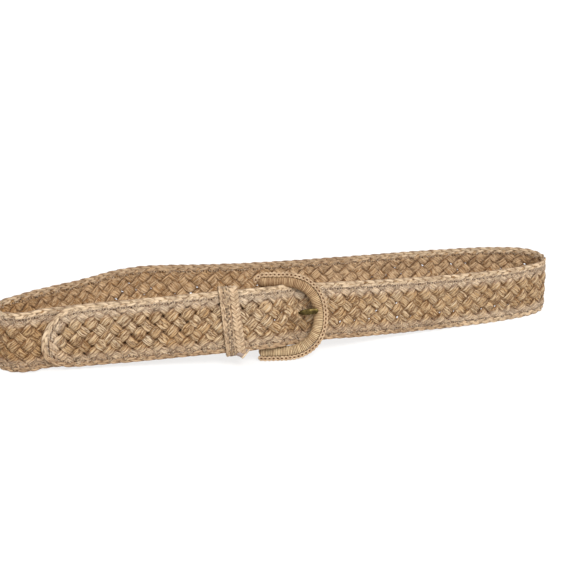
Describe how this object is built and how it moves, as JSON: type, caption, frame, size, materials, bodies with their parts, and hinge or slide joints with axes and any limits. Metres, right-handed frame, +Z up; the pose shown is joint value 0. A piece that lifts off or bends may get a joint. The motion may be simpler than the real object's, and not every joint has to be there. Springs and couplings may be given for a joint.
{
  "type": "belt",
  "caption": "Woven raffia waist belt buckled into a long flat loop, with a raffia-bound D buckle, a metal prong, a braided keeper and a rounded free end.",
  "frame": {"origin": "middle of the underside of the belt's box, on the surface it stands on", "axes": "+X along the loop, towards the end without the free end; +Z up, across the strap; the buckle is on the -Y side"},
  "size_m": [0.4496, 0.1112, 0.0633],
  "materials": {
    "plaited_raffia": "dry matt plaited straw",
    "braided_raffia": "dry matt braided straw, slightly paler",
    "bound_raffia": "fine raffia thread wound side by side, soft sheen",
    "steel": "plain wire, hidden",
    "aged_brass": "darkened antique brass, worn brighter on the edges"
  },
  "bodies": {
    "root": {"strap_panel": "plaited_raffia", "edge_braid": "braided_raffia", "keeper": "braided_raffia", "buckle_frame": "bound_raffia", "frame_trim": "bound_raffia", "heel_bar": "steel", "prong": "aged_brass"}
  },
  "joints": []
}
